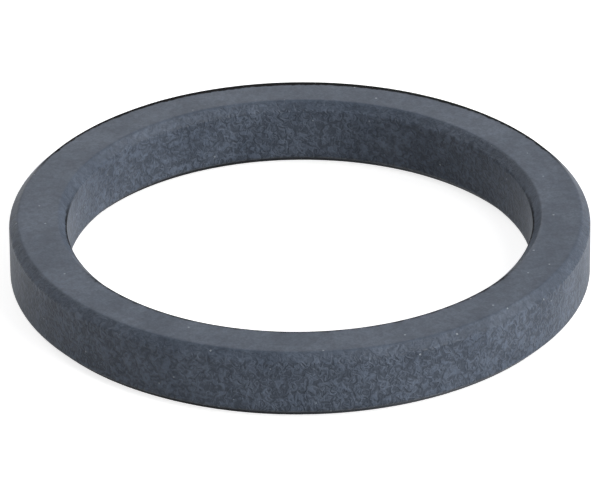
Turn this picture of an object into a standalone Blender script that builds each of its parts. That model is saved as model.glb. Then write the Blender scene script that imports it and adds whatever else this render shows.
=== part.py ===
# Group head gasket
# A moulded rubber ring that lies in the groove of a coffee machine's group head. The rim of the
# filter basket is pressed against its lower face when the filter holder is turned home. It is one
# solid piece, and its section is the same either way up, so a worn gasket can be turned over.
# Metres, +Z up, with the origin at the centre of the underside.

from math import cos, pi, radians, sin, tan

import bpy
from mathutils import Vector

# Driving dimensions
OUTER_DIAMETER = 0.073  # sits in the groove of the group head
SECTION_WIDTH = 0.00725  # from the outer wall to the bore, which it leaves 58.5 mm across
HEIGHT = 0.0088  # face to face, before it is squeezed
BEVEL_WIDTH = 0.0011  # what a bevel takes off a flat face, along the radius
BEVEL_ANGLE = radians(45)  # how far a bevel turns down from its flat face
EDGE_RADIUS = 0.0002  # moulded rounding where a bevel meets a face or a wall

# Facets
TURN_STEPS = 144  # flats round the ring
EDGE_STEPS = 2  # flats across each rounded edge
SEAM_MERGE = 0.00001  # closes the last section of the turn onto the first
SMOOTH_ANGLE = radians(8)  # edges sharper than this stay crisp; one flat of the turn is well under it

# Rubber
RUBBER_COLOUR = (0.105, 0.125, 0.15, 1.0)
RUBBER_ROUGHNESS = 0.6


def clear_scene():
    for obj in list(bpy.data.objects):
        bpy.data.objects.remove(obj, do_unlink=True)


def section_corners():
    """The section's eight corners in the XZ plane: out along the top face, then down the outer side."""
    outer = OUTER_DIAMETER / 2
    bore = outer - SECTION_WIDTH
    drop = BEVEL_WIDTH * tan(BEVEL_ANGLE)
    return [
        Vector((bore + BEVEL_WIDTH, HEIGHT)),
        Vector((outer - BEVEL_WIDTH, HEIGHT)),
        Vector((outer, HEIGHT - drop)),
        Vector((outer, drop)),
        Vector((outer - BEVEL_WIDTH, 0)),
        Vector((bore + BEVEL_WIDTH, 0)),
        Vector((bore, drop)),
        Vector((bore, HEIGHT - drop)),
    ]


def rounded_corner(before, corner, after):
    """Points of the arc that rounds one corner, from the side before it to the side after it."""
    arriving = (corner - before).normalized()
    leaving = (after - corner).normalized()
    turn = arriving.angle(leaving)
    start = corner - arriving * EDGE_RADIUS * tan(turn / 2)
    inward = Vector((arriving.y, -arriving.x))
    points = []
    for step in range(EDGE_STEPS + 1):
        angle = turn * step / EDGE_STEPS
        along = arriving * EDGE_RADIUS * sin(angle)
        across = inward * EDGE_RADIUS * (1 - cos(angle))
        points.append(start + along + across)
    return points


def section_points():
    corners = section_corners()
    points = []
    for index, corner in enumerate(corners):
        before = corners[index - 1]
        after = corners[(index + 1) % len(corners)]
        points += rounded_corner(before, corner, after)
    return points


def rubber_material():
    material = bpy.data.materials.new("Moulded rubber, matte slate grey")
    material.use_nodes = True
    shader = material.node_tree.nodes["Principled BSDF"]
    shader.inputs["Base Color"].default_value = RUBBER_COLOUR
    shader.inputs["Roughness"].default_value = RUBBER_ROUGHNESS
    shader.inputs["Metallic"].default_value = 0.0
    return material


def turned_ring(name):
    """The closed section turned once round Z."""
    points = section_points()
    edges = [(index, (index + 1) % len(points)) for index in range(len(points))]
    mesh = bpy.data.meshes.new(name)
    mesh.from_pydata([(point.x, 0, point.y) for point in points], edges, [])
    ring = bpy.data.objects.new(name, mesh)
    turn = ring.modifiers.new("Turn", "SCREW")
    turn.axis = "Z"
    turn.angle = 2 * pi
    turn.steps = TURN_STEPS
    turn.render_steps = TURN_STEPS
    turn.use_merge_vertices = True
    turn.merge_threshold = SEAM_MERGE
    return ring


def applied(obj):
    """Turns the object's modifiers into its mesh."""
    graph = bpy.context.evaluated_depsgraph_get()
    mesh = bpy.data.meshes.new_from_object(obj.evaluated_get(graph))
    mesh.name = obj.name
    obj.modifiers.clear()
    obj.data = mesh


def gasket_ring():
    ring = turned_ring("gasket_ring")
    collection = bpy.data.collections.new("Group head gasket")
    bpy.context.scene.collection.children.link(collection)
    collection.objects.link(ring)
    applied(ring)
    ring.data.shade_smooth()
    ring.data.set_sharp_from_angle(angle=SMOOTH_ANGLE)
    ring.data.materials.append(rubber_material())
    return ring


clear_scene()
gasket_ring()
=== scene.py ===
# Group head gasket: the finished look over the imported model
# A thick ring of black nitrile rubber, greyed by its bloom, lying on a white studio table.
from math import cos, pi, radians, sin

import bmesh
import bpy
from mathutils import Matrix, Vector


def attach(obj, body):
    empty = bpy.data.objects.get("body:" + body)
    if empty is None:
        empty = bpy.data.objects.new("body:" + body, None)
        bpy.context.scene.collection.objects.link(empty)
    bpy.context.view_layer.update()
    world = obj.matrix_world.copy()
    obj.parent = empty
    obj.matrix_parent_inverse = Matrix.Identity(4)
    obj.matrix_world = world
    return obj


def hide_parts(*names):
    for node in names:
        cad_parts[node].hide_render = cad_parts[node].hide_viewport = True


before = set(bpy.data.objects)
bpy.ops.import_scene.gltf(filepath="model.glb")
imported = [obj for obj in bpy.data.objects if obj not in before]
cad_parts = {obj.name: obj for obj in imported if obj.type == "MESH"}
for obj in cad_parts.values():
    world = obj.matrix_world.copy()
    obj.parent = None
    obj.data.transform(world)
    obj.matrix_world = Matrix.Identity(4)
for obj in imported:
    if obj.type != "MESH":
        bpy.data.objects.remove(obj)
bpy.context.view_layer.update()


# Helpers

def linearColour(code):
    # an sRGB hex value as the linear colour that a shader takes
    channels = [int(code[place:place + 2], 16) / 255 for place in (1, 3, 5)]
    linear = [value / 12.92 if value <= 0.04045 else ((value + 0.055) / 1.055) ** 2.4 for value in channels]
    return linear + [1.0]


def addNode(tree, kind, settings=None, links=None):
    # a node with its settings (its own properties or its sockets' values) and what is plugged into it,
    # each a socket or a node whose first output is meant
    node = tree.nodes.new(kind)
    for name, value in (settings or {}).items():
        if isinstance(name, str) and hasattr(node, name):
            setattr(node, name, value)
        else:
            node.inputs[name].default_value = value
    for name, source in (links or {}).items():
        tree.links.new(getattr(source, "outputs", [source])[0], node.inputs[name])
    return node


def deselectAll():
    if bpy.context.object and bpy.context.object.mode != "OBJECT":
        bpy.ops.object.mode_set(mode="OBJECT")
    bpy.ops.object.select_all(action="DESELECT")


def selectPart(piece, edgeTest=None, faceTest=None):
    # in edit mode: selects the edges or faces that pass a test, and nothing else
    mesh = bmesh.from_edit_mesh(piece.data)
    bpy.ops.mesh.select_all(action="DESELECT")
    bpy.ops.mesh.select_mode(type="EDGE" if edgeTest else "FACE")
    chosen = mesh.edges if edgeTest else mesh.faces
    test = edgeTest or faceTest
    for item in chosen:
        if test(item):
            item.select_set(True)
    bmesh.update_edit_mesh(piece.data)


# The ring

gasket = {
    "outerRadius": 0.0365,
    "boreRadius": 0.02925,
    "height": 0.0088,
    "bevel": 0.0011,  # taken off each face along the radius, at 45 degrees
    "cornerSetback": 0.00013,  # where the small moulded rounding of a corner starts
    "cornerSegments": 3,
    "turnSteps": 720,  # a facet every half degree, 0.3 mm at the outside
    "seamMerge": 0.000004,  # closes the end of the turn onto its start
    "faceCuts": 17,
    "wallCuts": 21,
    "bevelCuts": 5,
    "smoothAngle": 40,
}

mouldSurface = {
    "swell": 0.00004,  # how far the walls wander in and out
    "swellSize": 0.011,  # from one bulge to the next
    "grain": 0.000022,  # coarse grain that the mould and the dusting powder leave on the sides
    "grainSize": 0.00075,
    "faceShare": 0.35,  # the flat faces are smoother than the sides
}


def addSection(size):
    # the section stands in the XZ plane: a rectangle with its corners bevelled, then rounded
    deselectAll()
    width = size["outerRadius"] - size["boreRadius"]
    bpy.ops.mesh.primitive_plane_add(size=1, enter_editmode=True, location=(0, 0, 0))
    ring = bpy.context.object
    ring.name = "gasketRing"
    ring.data.name = "gasketRing"
    bpy.ops.transform.resize(value=(width, size["height"], 1))
    bpy.ops.transform.rotate(value=pi / 2, orient_axis="X", center_override=(0, 0, 0))
    bpy.ops.transform.translate(value=((size["outerRadius"] + size["boreRadius"]) / 2, 0, size["height"] / 2))
    bpy.ops.mesh.bevel(offset=size["bevel"], offset_type="OFFSET", segments=1, affect="VERTICES")
    bpy.ops.mesh.select_all(action="SELECT")
    bpy.ops.mesh.bevel(offset=size["cornerSetback"], offset_type="OFFSET", segments=size["cornerSegments"],
                       profile=0.5, affect="VERTICES")
    bpy.ops.mesh.select_all(action="SELECT")
    bpy.ops.mesh.delete(type="ONLY_FACE")
    return ring


def cutSides(ring, size):
    # the sides of the section are cut up so that the surface can carry a grain
    longSide = 0.003  # faces and walls are longer than this, and bevels are shorter
    shortSide = 0.0006  # the edges of a rounded corner are shorter than this
    straight = 0.0001  # an edge that moves less than this along one axis is level or upright

    def runs(edge):
        step = edge.verts[0].co - edge.verts[1].co
        return abs(step.x), abs(step.z)

    def isFace(edge):
        along, up = runs(edge)
        return along > longSide and up < straight

    def isWall(edge):
        along, up = runs(edge)
        return up > longSide and along < straight

    def isBevel(edge):
        along, up = runs(edge)
        return shortSide < along < longSide and shortSide < up < longSide

    for test, cuts in ((isFace, size["faceCuts"]), (isWall, size["wallCuts"]), (isBevel, size["bevelCuts"])):
        selectPart(ring, edgeTest=test)
        bpy.ops.mesh.subdivide(number_cuts=cuts)


def turnSection(ring, size):
    bpy.ops.mesh.select_all(action="SELECT")
    bpy.ops.mesh.spin(steps=size["turnSteps"], angle=2 * pi, center=(0, 0, 0), axis=(0, 0, 1))
    bpy.ops.mesh.select_all(action="SELECT")
    bpy.ops.mesh.remove_doubles(threshold=size["seamMerge"])
    bpy.ops.mesh.normals_make_consistent(inside=False)


def weighFaces(ring, surface):
    # a vertex group says how much of the grain each side takes
    flatNormal = 0.98  # the flat faces point up or down by more than this
    ring.vertex_groups.new(name="grainShare")
    for share, flat in ((1.0, False), (surface["faceShare"], True)):
        selectPart(ring, faceTest=lambda face: (abs(face.normal.z) > flatNormal) == flat)
        bpy.context.scene.tool_settings.vertex_group_weight = share
        bpy.ops.object.vertex_group_assign()
    bpy.ops.object.mode_set(mode="OBJECT")


def roughen(ring, surface):
    # the swell first and the grain over it, each with its height, its size and its levels of detail
    steps = (
        ("swell", surface["swell"], surface["swellSize"], 1),
        ("grain", surface["grain"], surface["grainSize"], 2),
    )
    for name, height, size, depth in steps:
        pattern = bpy.data.textures.new(name, "CLOUDS")
        pattern.noise_scale = size
        pattern.noise_depth = depth
        pattern.noise_basis = "ORIGINAL_PERLIN"
        push = ring.modifiers.new(name, "DISPLACE")
        push.texture = pattern
        push.texture_coords = "LOCAL"
        push.strength = height
        push.mid_level = 0.5
        push.vertex_group = "grainShare"
        bpy.ops.object.modifier_apply(modifier=push.name)
    ring.vertex_groups.clear()


def modelRing():
    ring = addSection(gasket)
    cutSides(ring, gasket)
    turnSection(ring, gasket)
    weighFaces(ring, mouldSurface)
    roughen(ring, mouldSurface)
    bpy.ops.object.shade_smooth_by_angle(angle=radians(gasket["smoothAngle"]))
    print("ring modelled:", len(ring.data.polygons), "faces")
    return ring


# Rubber

rubberLook = {
    "bloom": "#5a6371",  # slate grey film that nitrile rubber brings to its surface as it ages
    "bloomThin": "#4c5563",
    "shadeLineColour": "#08090b",  # near-black painted shade for the dark lines along the edges and round the foot
    "dust": "#959ca4",  # dusting powder left from the mould
    "dustCells": 1100.0,  # cells to a metre, 0.9 mm each
    "dustShare": 0.06,  # of the cells that hold a speck
    "dustSpot": 0.00013,  # a speck's radius
    "roughness": 0.42,
    "edgeRoughness": 0.3,  # the corners between bevels and walls are a little polished
    "edgeWidth": (0.0003, 0.0001),  # from where to where the polish comes in
    "specular": 0.22,
    "refraction": 1.52,
    "wormHeight": 0.0001,  # depth of the coarse grain on the walls
    "grainShadeTone": 0.25,  # how much the grain is painted darker in its hollows and lighter on its humps, painted shade and light of the grain
    "wormRange": (0.36, 0.64),  # the values of its noise that make a hollow and a hump
    "mottleTone": 0.12,  # how much mottle and speckle thin and thicken it
    "bevelShare": 0.45,  # how much of the grain the bevels carry
    "endShare": 0.5,  # how much of it is left at the two ends of the ring, where it is flatter
    "endStretch": (0.02, 0.5),  # from there to the full grain, in squared sines of the angle from +X
    "fineHeight": 0.00003,  # depth of the fine texture on the sides
    "fineOnFaces": 0.4,  # how much of it the flat faces carry
    "patternRoughness": 0.55,
}

# painted shade in dark lines along the edges and round the foot: each pair runs from where a line begins to
# show to where it is full.
# Widths are in metres, stretches in sines of the angle from +X (1 at the back, -1 in front, 0 at the ends)
rubberShadeLines = {
    "rimWidth": 0.0003,  # along the outer edge of the face
    "rimSpread": 0.00075,  # how much wider that line is at the back
    "rimOver": (0.0004, 0.0002),  # how far it runs over the edge onto the bevel
    "rimBack": (0.2, 0.5),
    "mouthWidth": (0.0005, 0.0001),  # along the inner edge of the face
    "mouthFront": (-0.35, -0.6),
    "mouthShare": 0.8,  # how strong the painted shade is there
    "creaseWidth": (0.0005, 0.00015),  # along the top of the bore's wall
    "creaseForward": 0.17,  # it lies 10 degrees before the two ends of the ring
    "creaseStretch": (0.5, 0.16),  # to both sides of that place
    "creaseShare": 0.95,
    "footHeight": (1.3, 0.6),  # painted shade round the foot of the walls, heights in bevels
    "footStretch": (-0.3, 0.6),  # from left to right, in outer radii, where it goes
    "footShare": (0.9, 0.6),  # the painted shade from this strong to this strong
    "ragged": 0.0007,  # how far the edges of these lines wander, from one extreme to the other
}

rubberPatterns = {
    "blotch": {"Scale": 170.0, "Detail": 3.0},  # patches of 6 mm
    "mottle": {"Scale": 1300.0, "Detail": 2.0},  # 0.8 mm
    "worms": {"Scale": 1300.0, "Detail": 1.5, "Distortion": 1.3},  # short bent humps 0.8 mm apart
    "speckle": {"Scale": 3600.0, "Detail": 2.0},  # 0.3 mm
    "pores": {"Scale": 3800.0, "Detail": 2.0},  # the mould's own fine texture, drawn coarser so that it shows
}


def rubberMaterial(look, shadeLines, patterns, size):
    # Nitrile rubber, compression moulded, unpolished: matte, with a soft broad sheen and no sharp reflection
    material = bpy.data.materials.new("mouldedNitrileRubber")
    material.use_nodes = True
    tree = material.node_tree
    tree.nodes.clear()
    top, bevel = size["height"] / 2, size["bevel"]  # heights here are taken from mid height
    outer, bore = size["outerRadius"], size["boreRadius"]
    rim = outer - bevel
    noiseRange = (0.3, 0.7)  # nearly all of a noise's values lie between these
    faceHeight, sideHeight = top - 0.00005, top - 0.0002  # a flat face goes over into its bevel between them

    place = addNode(tree, "ShaderNodeTexCoord").outputs["Object"]
    apart = addNode(tree, "ShaderNodeSeparateXYZ", links={0: place})
    flat = addNode(tree, "ShaderNodeCombineXYZ", links={"X": apart.outputs["X"], "Y": apart.outputs["Y"]})
    radius = addNode(tree, "ShaderNodeVectorMath", {"operation": "LENGTH"}, {0: flat}).outputs["Value"]
    turned = addNode(tree, "ShaderNodeMath", {"operation": "DIVIDE"}, {0: apart.outputs["Y"], 1: radius})
    squared = addNode(tree, "ShaderNodeMath", {"operation": "MULTIPLY"}, {0: turned, 1: turned})
    height = addNode(tree, "ShaderNodeMath", {"operation": "SUBTRACT", 1: top}, {0: apart.outputs["Z"]})
    away = addNode(tree, "ShaderNodeMath", {"operation": "ABSOLUTE"}, {0: height})
    pattern = {}
    for name, settings in patterns.items():
        pattern[name] = addNode(tree, "ShaderNodeTexNoise",
                                {"Roughness": look["patternRoughness"], **settings}, {"Vector": place})

    # distances from the corners of the section, a little ragged so that the painted shade lines aren't ruled
    ragged = addNode(tree, "ShaderNodeMath",
                     {"operation": "MULTIPLY_ADD", 1: shadeLines["ragged"], 2: -shadeLines["ragged"] / 2},
                     {0: pattern["mottle"]})
    raggedRadius = addNode(tree, "ShaderNodeMath", {"operation": "ADD"}, {0: radius, 1: ragged})
    section = addNode(tree, "ShaderNodeCombineXYZ", links={"X": raggedRadius, "Y": away})
    corners = {
        "innerFace": (bore + bevel, top, 0),
        "outerWall": (outer, top - bevel, 0),
        "boreWall": (bore, top - bevel, 0),
    }
    gap = {}
    for name, corner in corners.items():
        gap[name] = addNode(tree, "ShaderNodeVectorMath", {"operation": "DISTANCE", 1: corner},
                            {0: section}).outputs["Value"]
    reach = addNode(tree, "ShaderNodeMath", {"operation": "MULTIPLY_ADD", 1: shadeLines["rimSpread"]},
                    {0: squared, 2: raggedRadius})
    gap["wall"] = addNode(tree, "ShaderNodeMath", {"operation": "MINIMUM"},
                          {0: gap["boreWall"], 1: gap["outerWall"]})
    end = addNode(tree, "ShaderNodeMath", {"operation": "ADD", 1: shadeLines["creaseForward"]}, {0: turned})
    end = addNode(tree, "ShaderNodeMath", {"operation": "ABSOLUTE"}, {0: end})

    # each share goes smoothly from one value to another while its source goes over a range
    share = {}
    shareRows = (
        ("side", away, (faceHeight, sideHeight), (0, 1)),  # 0 on the flat faces, 1 on walls and bevels
        ("wall", away, (top - 0.7 * bevel, top - bevel), (look["bevelShare"], 1)),
        ("broad", squared, look["endStretch"], (look["endShare"], 1)),
        ("fine", away, (sideHeight, faceHeight),
         (look["fineHeight"], look["fineOnFaces"] * look["fineHeight"])),
        # masks of the painted shade lines
        ("rimLine", reach, (rim - shadeLines["rimWidth"], rim), (0, 1)),
        ("rimOver", raggedRadius, (rim + shadeLines["rimOver"][0], rim + shadeLines["rimOver"][1]), (0, 1)),
        ("rimBack", turned, shadeLines["rimBack"], (0, 1)),
        ("mouthLine", gap["innerFace"], shadeLines["mouthWidth"], (0, 1)),
        ("mouthFront", turned, shadeLines["mouthFront"], (0, shadeLines["mouthShare"])),
        ("creaseLine", gap["boreWall"], shadeLines["creaseWidth"], (0, 1)),
        ("creaseEnd", end, shadeLines["creaseStretch"], (0, shadeLines["creaseShare"])),
        ("foot", apart.outputs["Z"], (shadeLines["footHeight"][0] * bevel, shadeLines["footHeight"][1] * bevel), (0, 1)),
        ("footSide", apart.outputs["X"], (shadeLines["footStretch"][0] * outer, shadeLines["footStretch"][1] * outer),
         shadeLines["footShare"]),
        ("blotch", pattern["blotch"], noiseRange, (0, 1)),
        ("mottle", pattern["mottle"], noiseRange, (1 - look["mottleTone"], 1 + look["mottleTone"])),
        ("speckle", pattern["speckle"], noiseRange, (1 - look["mottleTone"], 1 + look["mottleTone"])),
        ("worms", pattern["worms"], look["wormRange"], (-1, 1)),
        ("polish", gap["wall"], look["edgeWidth"], (look["roughness"], look["edgeRoughness"])),
    )
    for name, source, (low, high), (before, after) in shareRows:
        share[name] = addNode(tree, "ShaderNodeMapRange",
                              {"interpolation_type": "SMOOTHSTEP", "From Min": low, "From Max": high,
                               "To Min": before, "To Max": after}, {"Value": source})
    grainy = addNode(tree, "ShaderNodeMath", {"operation": "MULTIPLY"}, {0: share["side"], 1: share["wall"]})
    grainy = addNode(tree, "ShaderNodeMath", {"operation": "MULTIPLY"}, {0: grainy, 1: share["broad"]})
    humps = addNode(tree, "ShaderNodeMath", {"operation": "MULTIPLY"}, {0: grainy, 1: share["worms"]})

    # painted shade in dark lines: along the outer edge of the face over the back, along its inner edge over
    # the front, along the top of the bore at the two ends, and round the foot of the walls
    share["rim"] = addNode(tree, "ShaderNodeMath", {"operation": "MULTIPLY"},
                           {0: share["rimLine"], 1: share["rimOver"]})
    paintedShade = None
    for line, stretch in (("rim", "rimBack"), ("mouthLine", "mouthFront"), ("creaseLine", "creaseEnd"),
                          ("foot", "footSide")):
        both = addNode(tree, "ShaderNodeMath", {"operation": "MULTIPLY"}, {0: share[line], 1: share[stretch]})
        paintedShade = both if paintedShade is None else addNode(tree, "ShaderNodeMath", {"operation": "MAXIMUM"},
                                                     {0: paintedShade, 1: both})

    film = addNode(tree, "ShaderNodeMix",
                   {"data_type": "RGBA", 6: linearColour(look["bloomThin"]), 7: linearColour(look["bloom"])},
                   {0: share["blotch"]}).outputs[2]
    # painted shade and light of the grain: darker in its hollows, lighter on its humps
    strength = addNode(tree, "ShaderNodeMath", {"operation": "MULTIPLY_ADD", 1: look["grainShadeTone"], 2: 1.0},
                       {0: humps})
    for name in ("mottle", "speckle"):
        strength = addNode(tree, "ShaderNodeMath", {"operation": "MULTIPLY"}, {0: strength, 1: share[name]})
    mottled = addNode(tree, "ShaderNodeVectorMath", {"operation": "SCALE"}, {0: film, "Scale": strength})
    # painted shade: the near-black lines mixed over the film
    edged = addNode(tree, "ShaderNodeMix", {"data_type": "RGBA", 7: linearColour(look["shadeLineColour"])},
                    {0: paintedShade, 6: mottled}).outputs[2]

    # dusting powder: a speck in a few of the cells
    cells = addNode(tree, "ShaderNodeTexVoronoi", {"Scale": look["dustCells"]}, {"Vector": place})
    chance = addNode(tree, "ShaderNodeSeparateXYZ", links={0: cells.outputs["Color"]})
    chosen = addNode(tree, "ShaderNodeMath", {"operation": "GREATER_THAN", 1: 1.0 - look["dustShare"]},
                     {0: chance})
    speck = addNode(tree, "ShaderNodeMath",
                    {"operation": "LESS_THAN", 1: look["dustSpot"] * look["dustCells"]},
                    {0: cells.outputs["Distance"]})
    powder = addNode(tree, "ShaderNodeMath", {"operation": "MULTIPLY"}, {0: chosen, 1: speck})
    dusted = addNode(tree, "ShaderNodeMix", {"data_type": "RGBA", 7: linearColour(look["dust"])},
                     {0: powder, 6: edged}).outputs[2]

    # the painted shade lines are made fully rough so that they stay dull; the heights of the relief are in
    # metres
    rough = addNode(tree, "ShaderNodeMath", {"operation": "MAXIMUM"}, {0: share["polish"], 1: paintedShade})
    coarse = addNode(tree, "ShaderNodeMath", {"operation": "MULTIPLY", 1: look["wormHeight"] / 2}, {0: humps})
    relief = addNode(tree, "ShaderNodeMath", {"operation": "MULTIPLY_ADD"},
                     {0: pattern["pores"], 1: share["fine"], 2: coarse})
    bump = addNode(tree, "ShaderNodeBump", {"Strength": 1.0, "Distance": 1.0}, {"Height": relief})

    shader = addNode(tree, "ShaderNodeBsdfPrincipled",
                     {"Metallic": 0.0, "IOR": look["refraction"], "Specular IOR Level": look["specular"]},
                     {"Base Color": dusted, "Roughness": rough, "Normal": bump})
    addNode(tree, "ShaderNodeOutputMaterial", links={"Surface": shader})
    return material


# Studio

studio = {
    "table": "#e2e2e2",
    "tableWhite": 0.8,  # how much of the white the camera sees beside the part whatever falls on the table
    "shadowRoom": (0.08, 0.25),  # from where to where the table goes over to plain white
    "tableSide": 8.0,
    "tableDrop": 0.00002,  # keeps the table clear of the ring's underside
    "roomLevel": 0.05,  # soft light from all round
    "mirrored": 0.5,  # how bright a reflection sees the white surroundings
    "lampDistance": 1.2,
}

# angles in degrees, azimuth from the right of the picture towards its back; sizes in metres, powers in watts
lamps = [
    {"name": "windowFront", "azimuth": -36, "elevation": 15, "size": 0.6, "power": 6.5},
    {"name": "windowMiddle", "azimuth": 0, "elevation": 38, "size": 0.6, "power": 3.5},
    {"name": "windowBack", "azimuth": 22, "elevation": 38, "size": 0.6, "power": 1.8},
    {"name": "topFront", "azimuth": -48, "elevation": 48, "size": 0.45, "power": 2.7},
    {"name": "topBack", "azimuth": 50, "elevation": 60, "size": 0.6, "power": 0.6},
    {"name": "overhead", "azimuth": 90, "elevation": 72, "size": 0.5, "power": 0.4},
    {"name": "fillLeft", "azimuth": 137, "elevation": 36, "size": 0.6, "power": 2.0},
    {"name": "highLeft", "azimuth": 178, "elevation": 50, "size": 0.4, "power": 0.8},
    {"name": "lowLeft", "azimuth": -168, "elevation": 10, "size": 0.5, "power": 0.8},
    {"name": "behind", "azimuth": 92, "elevation": 8, "size": 0.28, "power": 0.5},
    {"name": "lowBack", "azimuth": 90, "elevation": 26, "size": 0.6, "power": 0.5},
]

# fitted to the ring's outline, hole and bevels in the photograph
cameraFit = {
    "distance": 0.9125,
    "lens": 435.18,
    "sensor": 36,
    "elevation": 28.818,
    "tilt": -0.055,
    "roll": 0.477,  # the photograph leans a little
    "nearest": 0.05,
    "farthest": 20,
}


def seenRays(tree):
    # 1 for what the camera sees, less for what a reflection sees, 0 for what lights the part
    ray = addNode(tree, "ShaderNodeLightPath")
    direct = addNode(tree, "ShaderNodeMath", {"operation": "MAXIMUM"},
                     {0: ray.outputs["Is Camera Ray"], 1: ray.outputs["Is Transmission Ray"]}).outputs[0]
    mirrored = addNode(tree, "ShaderNodeMath", {"operation": "MULTIPLY", 1: studio["mirrored"]},
                       {0: ray.outputs["Is Glossy Ray"]}).outputs[0]
    return addNode(tree, "ShaderNodeMath", {"operation": "MAXIMUM"}, {0: direct, 1: mirrored}).outputs[0]


def addTable():
    deselectAll()
    bpy.ops.mesh.primitive_plane_add(size=studio["tableSide"], location=(0, 0, 0))
    table = bpy.context.object
    table.name = "table"
    bpy.ops.transform.translate(value=(0, 0, -studio["tableDrop"]))
    bpy.ops.object.transform_apply(location=True, rotation=True, scale=True)
    material = bpy.data.materials.new("whitePaperSweep")
    material.use_nodes = True
    tree = material.node_tree
    tree.nodes.clear()
    paper = addNode(tree, "ShaderNodeBsdfDiffuse", {"Color": linearColour(studio["table"])})
    place = addNode(tree, "ShaderNodeTexCoord").outputs["Object"]
    distance = addNode(tree, "ShaderNodeVectorMath", {"operation": "LENGTH"}, {0: place}).outputs["Value"]
    near, far = studio["shadowRoom"]
    white = addNode(tree, "ShaderNodeMapRange",
                    {"From Min": near, "From Max": far, "To Min": studio["tableWhite"], "To Max": 1.0},
                    {"Value": distance})
    level = addNode(tree, "ShaderNodeMath", {"operation": "MULTIPLY"}, {0: white, 1: seenRays(tree)})
    glow = addNode(tree, "ShaderNodeEmission", {"Color": (1, 1, 1, 1)}, {"Strength": level})
    both = addNode(tree, "ShaderNodeAddShader", links={0: paper.outputs[0], 1: glow.outputs[0]})
    addNode(tree, "ShaderNodeOutputMaterial", links={"Surface": both.outputs[0]})
    table.data.materials.append(material)


def addRoom():
    world = bpy.data.worlds.new("whiteRoom")
    bpy.context.scene.world = world
    world.use_nodes = True
    tree = world.node_tree
    tree.nodes.clear()
    level = addNode(tree, "ShaderNodeMapRange", {"To Min": studio["roomLevel"], "To Max": 1.0},
                    {"Value": seenRays(tree)})
    light = addNode(tree, "ShaderNodeBackground", {"Color": (1, 1, 1, 1)}, {"Strength": level.outputs[0]})
    addNode(tree, "ShaderNodeOutputWorld", links={"Surface": light.outputs[0]})


def addLamp(lamp, aim):
    azimuth, elevation = radians(lamp["azimuth"]), radians(lamp["elevation"])
    direction = Vector((cos(azimuth) * cos(elevation), sin(azimuth) * cos(elevation), sin(elevation)))
    light = bpy.data.lights.new(lamp["name"], "AREA")
    light.shape = "DISK"
    light.size = lamp["size"]
    light.energy = lamp["power"]
    holder = bpy.data.objects.new(lamp["name"], light)
    bpy.context.scene.collection.objects.link(holder)
    holder.location = aim + direction * studio["lampDistance"]
    holder.rotation_euler = direction.to_track_quat("Z", "Y").to_euler()
    holder.visible_camera = False


def addCamera(fit, aim):
    elevation = radians(fit["elevation"])
    place = aim + Vector((0, -cos(elevation), sin(elevation))) * fit["distance"]
    data = bpy.data.cameras.new("photographView")
    data.lens = fit["lens"]
    data.sensor_width = fit["sensor"]
    data.clip_start = fit["nearest"]
    data.clip_end = fit["farthest"]
    camera = bpy.data.objects.new("photographView", data)
    bpy.context.scene.collection.objects.link(camera)
    camera.matrix_world = (Matrix.Translation(place)
                           @ Matrix.Rotation(radians(90 - fit["elevation"] + fit["tilt"]), 4, "X")
                           @ Matrix.Rotation(-radians(fit["roll"]), 4, "Z"))
    bpy.context.scene.camera = camera


# Assembly

ring = modelRing()
ring.data.materials.append(rubberMaterial(rubberLook, rubberShadeLines, rubberPatterns, gasket))
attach(ring, "root")
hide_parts("gasket_ring")
print("rubber laid on")

middle = Vector((0, 0, gasket["height"] / 2))
addTable()
addRoom()
for lamp in lamps:
    addLamp(lamp, middle)
addCamera(cameraFit, middle)
bpy.context.scene.view_settings.view_transform = "Standard"
print("studio set")
